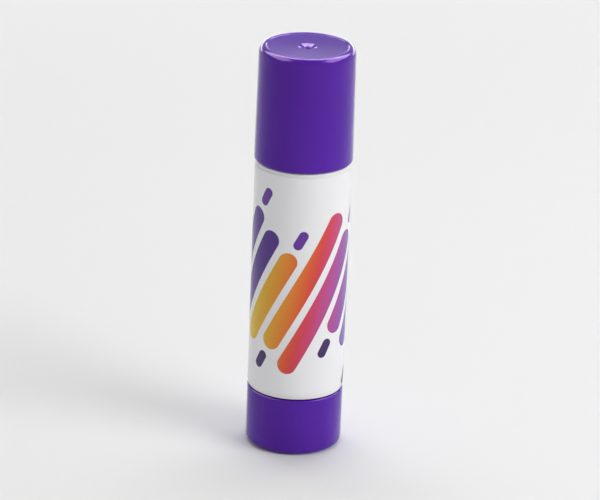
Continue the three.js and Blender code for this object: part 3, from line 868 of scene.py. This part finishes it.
def printed_film():
    """Glossy white film printed with slanted bars, whose colours run round the barrel."""
    material, tree, shader = new_material("printed_film")
    here = position(tree)
    split = tree.nodes.new("ShaderNodeSeparateXYZ")
    tree.links.new(here, split.inputs[0])
    x, y, z = (Field(tree, split.outputs[axis]) for axis in "XYZ")

    # The unrolled label, measured from the middle of its front, across the bars and along them
    round_way = x.math("ARCTAN2", y * -1.0) * LABEL_OUTER
    up = z - BAR_HEIGHT
    pitch = 2 * math.pi * LABEL_OUTER * math.cos(BAR_SLANT) / BAR_COUNT
    across = round_way * math.cos(BAR_SLANT) - up * math.sin(BAR_SLANT)
    along = round_way * math.sin(BAR_SLANT) + up * math.cos(BAR_SLANT)

    # Every bar has its own length and height on the barrel
    bar = (across * (1 / pitch) + 0.5).math("FLOOR")
    lengths = (bar * (2 * math.pi * LENGTH_WAVES / BAR_COUNT) + LENGTH_PHASE).math("SINE")
    staggers = (bar * (2 * math.pi * STAGGER_WAVES / BAR_COUNT) + STAGGER_PHASE).math("SINE")
    half_length = lengths * LENGTH_CHANGE + BAR_HALF_LENGTH
    middle = bar * (pitch * math.tan(BAR_SLANT)) + staggers * STAGGER
    off_middle = across - bar * pitch
    from_middle = along - middle
    bars = capsule(off_middle, from_middle, half_length, BAR_RADIUS)

    # A dash stands over one end of each bar, the upper and the lower one in turns
    dash_middle = half_length + (BAR_RADIUS + DASH_GAP + DASH_RADIUS + DASH_HALF_LENGTH)
    odd = (bar * 0.5).math("FRACT") * 2.0
    upward = odd * 2.0 - 1.0
    dashes = capsule(off_middle, from_middle * upward - dash_middle, DASH_HALF_LENGTH, DASH_RADIUS)

    share = (bar * (1 / BAR_COUNT) + BAND_START).math("FRACT")
    share = share + (off_middle + from_middle * BAND_LEAN) * (1 / (pitch * BAR_COUNT))
    printed = mix(tree, bars, FILM, colour_band(tree, share, RAINBOW))
    printed = mix(tree, dashes, printed, mix(tree, odd, DARK_ACCENT, ACCENT))
    tree.links.new(printed, shader.inputs["Base Color"])
    smudges = noise(tree, here, size=7.0, detail=4.0)
    smudges.contrast(*FILM_ROUGHNESS).to(shader.inputs["Roughness"])
    laid = bump(tree, noise(tree, here, size=8.0, detail=0.0), depth=0.006)
    tree.links.new(bump(tree, bars + dashes, depth=0.004, before=laid), shader.inputs["Normal"])
    return material


def background_only(tree, seen, fill):
    """seen for what the camera and reflections meet, fill for the light that reaches the object."""
    path = tree.nodes.new("ShaderNodeLightPath")
    rays = Field(tree, path.outputs["Is Camera Ray"])
    for name in ("Is Glossy Ray", "Is Transmission Ray"):
        rays = rays.math("MAXIMUM", Field(tree, path.outputs[name]))
    return rays * seen + (rays * -1.0 + 1.0) * fill


def make_world():
    world = bpy.data.worlds.new("studio")
    bpy.context.scene.world = world
    world.use_nodes = True
    tree = world.node_tree
    background = tree.nodes["Background"]
    background.inputs["Color"].default_value = (1, 1, 1, 1)
    where = tree.nodes.new("ShaderNodeTexCoord")
    split = tree.nodes.new("ShaderNodeSeparateXYZ")
    tree.links.new(where.outputs["Generated"], split.inputs[0])
    sweep = Field(tree, split.outputs["Z"]).ramp(SWEEP_START, SWEEP_END, BACKGROUND, ZENITH)
    background_only(tree, sweep, FILL).to(background.inputs["Strength"])


def make_floor():
    """A pale floor that keeps the shadow near the stick and goes over into the white background."""
    material, tree, shader = new_material("pale_floor")
    shader.inputs["Base Color"].default_value = (FLOOR_GREY, FLOOR_GREY, FLOOR_GREY, 1)
    shader.inputs["Roughness"].default_value = FLOOR_ROUGHNESS
    shader.inputs["Specular IOR Level"].default_value = FLOOR_SHINE
    where = tree.nodes.new("ShaderNodeTexCoord")
    length = tree.nodes.new("ShaderNodeVectorMath")
    length.operation = "LENGTH"
    tree.links.new(where.outputs["Object"], length.inputs[0])
    far = Field(tree, length.outputs["Value"]).ramp(FLOOR_FADE_START, FLOOR_FADE_END)
    glow = tree.nodes.new("ShaderNodeEmission")
    glow.inputs["Strength"].default_value = BACKGROUND
    blend = tree.nodes.new("ShaderNodeMixShader")
    (far * background_only(tree, 1.0, 0.0)).to(blend.inputs["Fac"])
    tree.links.new(shader.outputs[0], blend.inputs[1])
    tree.links.new(glow.outputs[0], blend.inputs[2])
    tree.links.new(blend.outputs[0], tree.nodes["Material Output"].inputs["Surface"])
    shape = bmesh.new()
    bmesh.ops.create_circle(shape, cap_ends=True, segments=FLOOR_SIDES, radius=FLOOR_RADIUS)
    mesh = bpy.data.meshes.new("floor")
    shape.to_mesh(mesh)
    shape.free()
    mesh.materials.append(material)
    floor = bpy.data.objects.new("floor", mesh)
    floor.location.z = -FLOOR_DROP
    bpy.context.scene.collection.objects.link(floor)


def softbox(name, azimuth, elevation, width, height, brightness, lights=True, shines=True):
    """A rectangular lamp aimed at the stick, whose diffuse light or whose highlight may be left out.

    Azimuth is 0 in front and positive to the right.
    """
    lamp = bpy.data.lights.new(name, "AREA")
    lamp.shape = "RECTANGLE"
    lamp.size = width
    lamp.size_y = height
    lamp.energy = brightness * math.pi * width * height
    box = bpy.data.objects.new(name, lamp)
    turn, lift = math.radians(azimuth), math.radians(elevation)
    way = Vector((math.sin(turn) * math.cos(lift), -math.cos(turn) * math.cos(lift), math.sin(lift)))
    box.location = Vector((0, 0, LAMP_AIM)) + way * LAMP_DISTANCE
    box.rotation_euler = way.to_track_quat("Z", "Y").to_euler()
    box.visible_camera = False
    box.visible_diffuse = lights
    box.visible_glossy = shines
    bpy.context.scene.collection.objects.link(box)


def make_lamps():
    softbox("right_key", azimuth=62, elevation=34, width=0.45, height=0.50, brightness=5.7, shines=False)
    softbox("right_gloss", azimuth=100, elevation=44, width=1.26, height=0.56, brightness=9.5, lights=False)
    softbox("left_gloss", azimuth=-96, elevation=44, width=1.26, height=0.56, brightness=9.0, lights=False)
    softbox("back_light", azimuth=180, elevation=66, width=0.80, height=0.45, brightness=3.5, shines=False)
    softbox("back_gloss", azimuth=180, elevation=65, width=0.90, height=0.60, brightness=13.0, lights=False)
    softbox("low_gloss", azimuth=180, elevation=7, width=1.70, height=0.17, brightness=4.5, lights=False)


def make_camera():
    data = bpy.data.cameras.new("camera")
    data.sensor_width = SENSOR
    data.lens = LENS
    data.clip_start = NEAR_CLIP
    camera = bpy.data.objects.new("camera", data)
    back = VIEW_DISTANCE * math.cos(VIEW_ELEVATION)
    lift = VIEW_DISTANCE * math.sin(VIEW_ELEVATION)
    camera.location = Vector((0, -back, CAP_TOP + lift)) * MM
    aim = Vector((0, 0, VIEW_AIM)) * MM
    look = (camera.location - aim).to_track_quat("Z", "Y").to_matrix().to_4x4()
    camera.rotation_euler = (look @ Matrix.Rotation(VIEW_ROLL, 4, "Z")).to_euler()
    bpy.context.scene.collection.objects.link(camera)
    bpy.context.scene.camera = camera


make_camera()
make_world()
make_floor()
make_lamps()

purple = plastic(
    "purple_plastic_gloss", PURPLE, roughness=0.12, shine=0.32, streaks=0.06, ripple=0.004, glint=LILAC
)
white = plastic(
    "white_plastic_gloss", WHITE, roughness=0.36, shine=0.3, streaks=0.012, ripple=0.0015, softness=0.15
)
natural = plastic(
    "natural_plastic_satin", NATURAL, roughness=0.38, shine=0.5, streaks=0.03, ripple=0.002, softness=0.2
)

make_cap(purple)
make_barrel(white)
make_label(printed_film())
make_knob(purple)
make_spindle(natural)
make_carrier(natural)
make_glue(waxy_glue())

bpy.context.scene.view_settings.view_transform = "Standard"
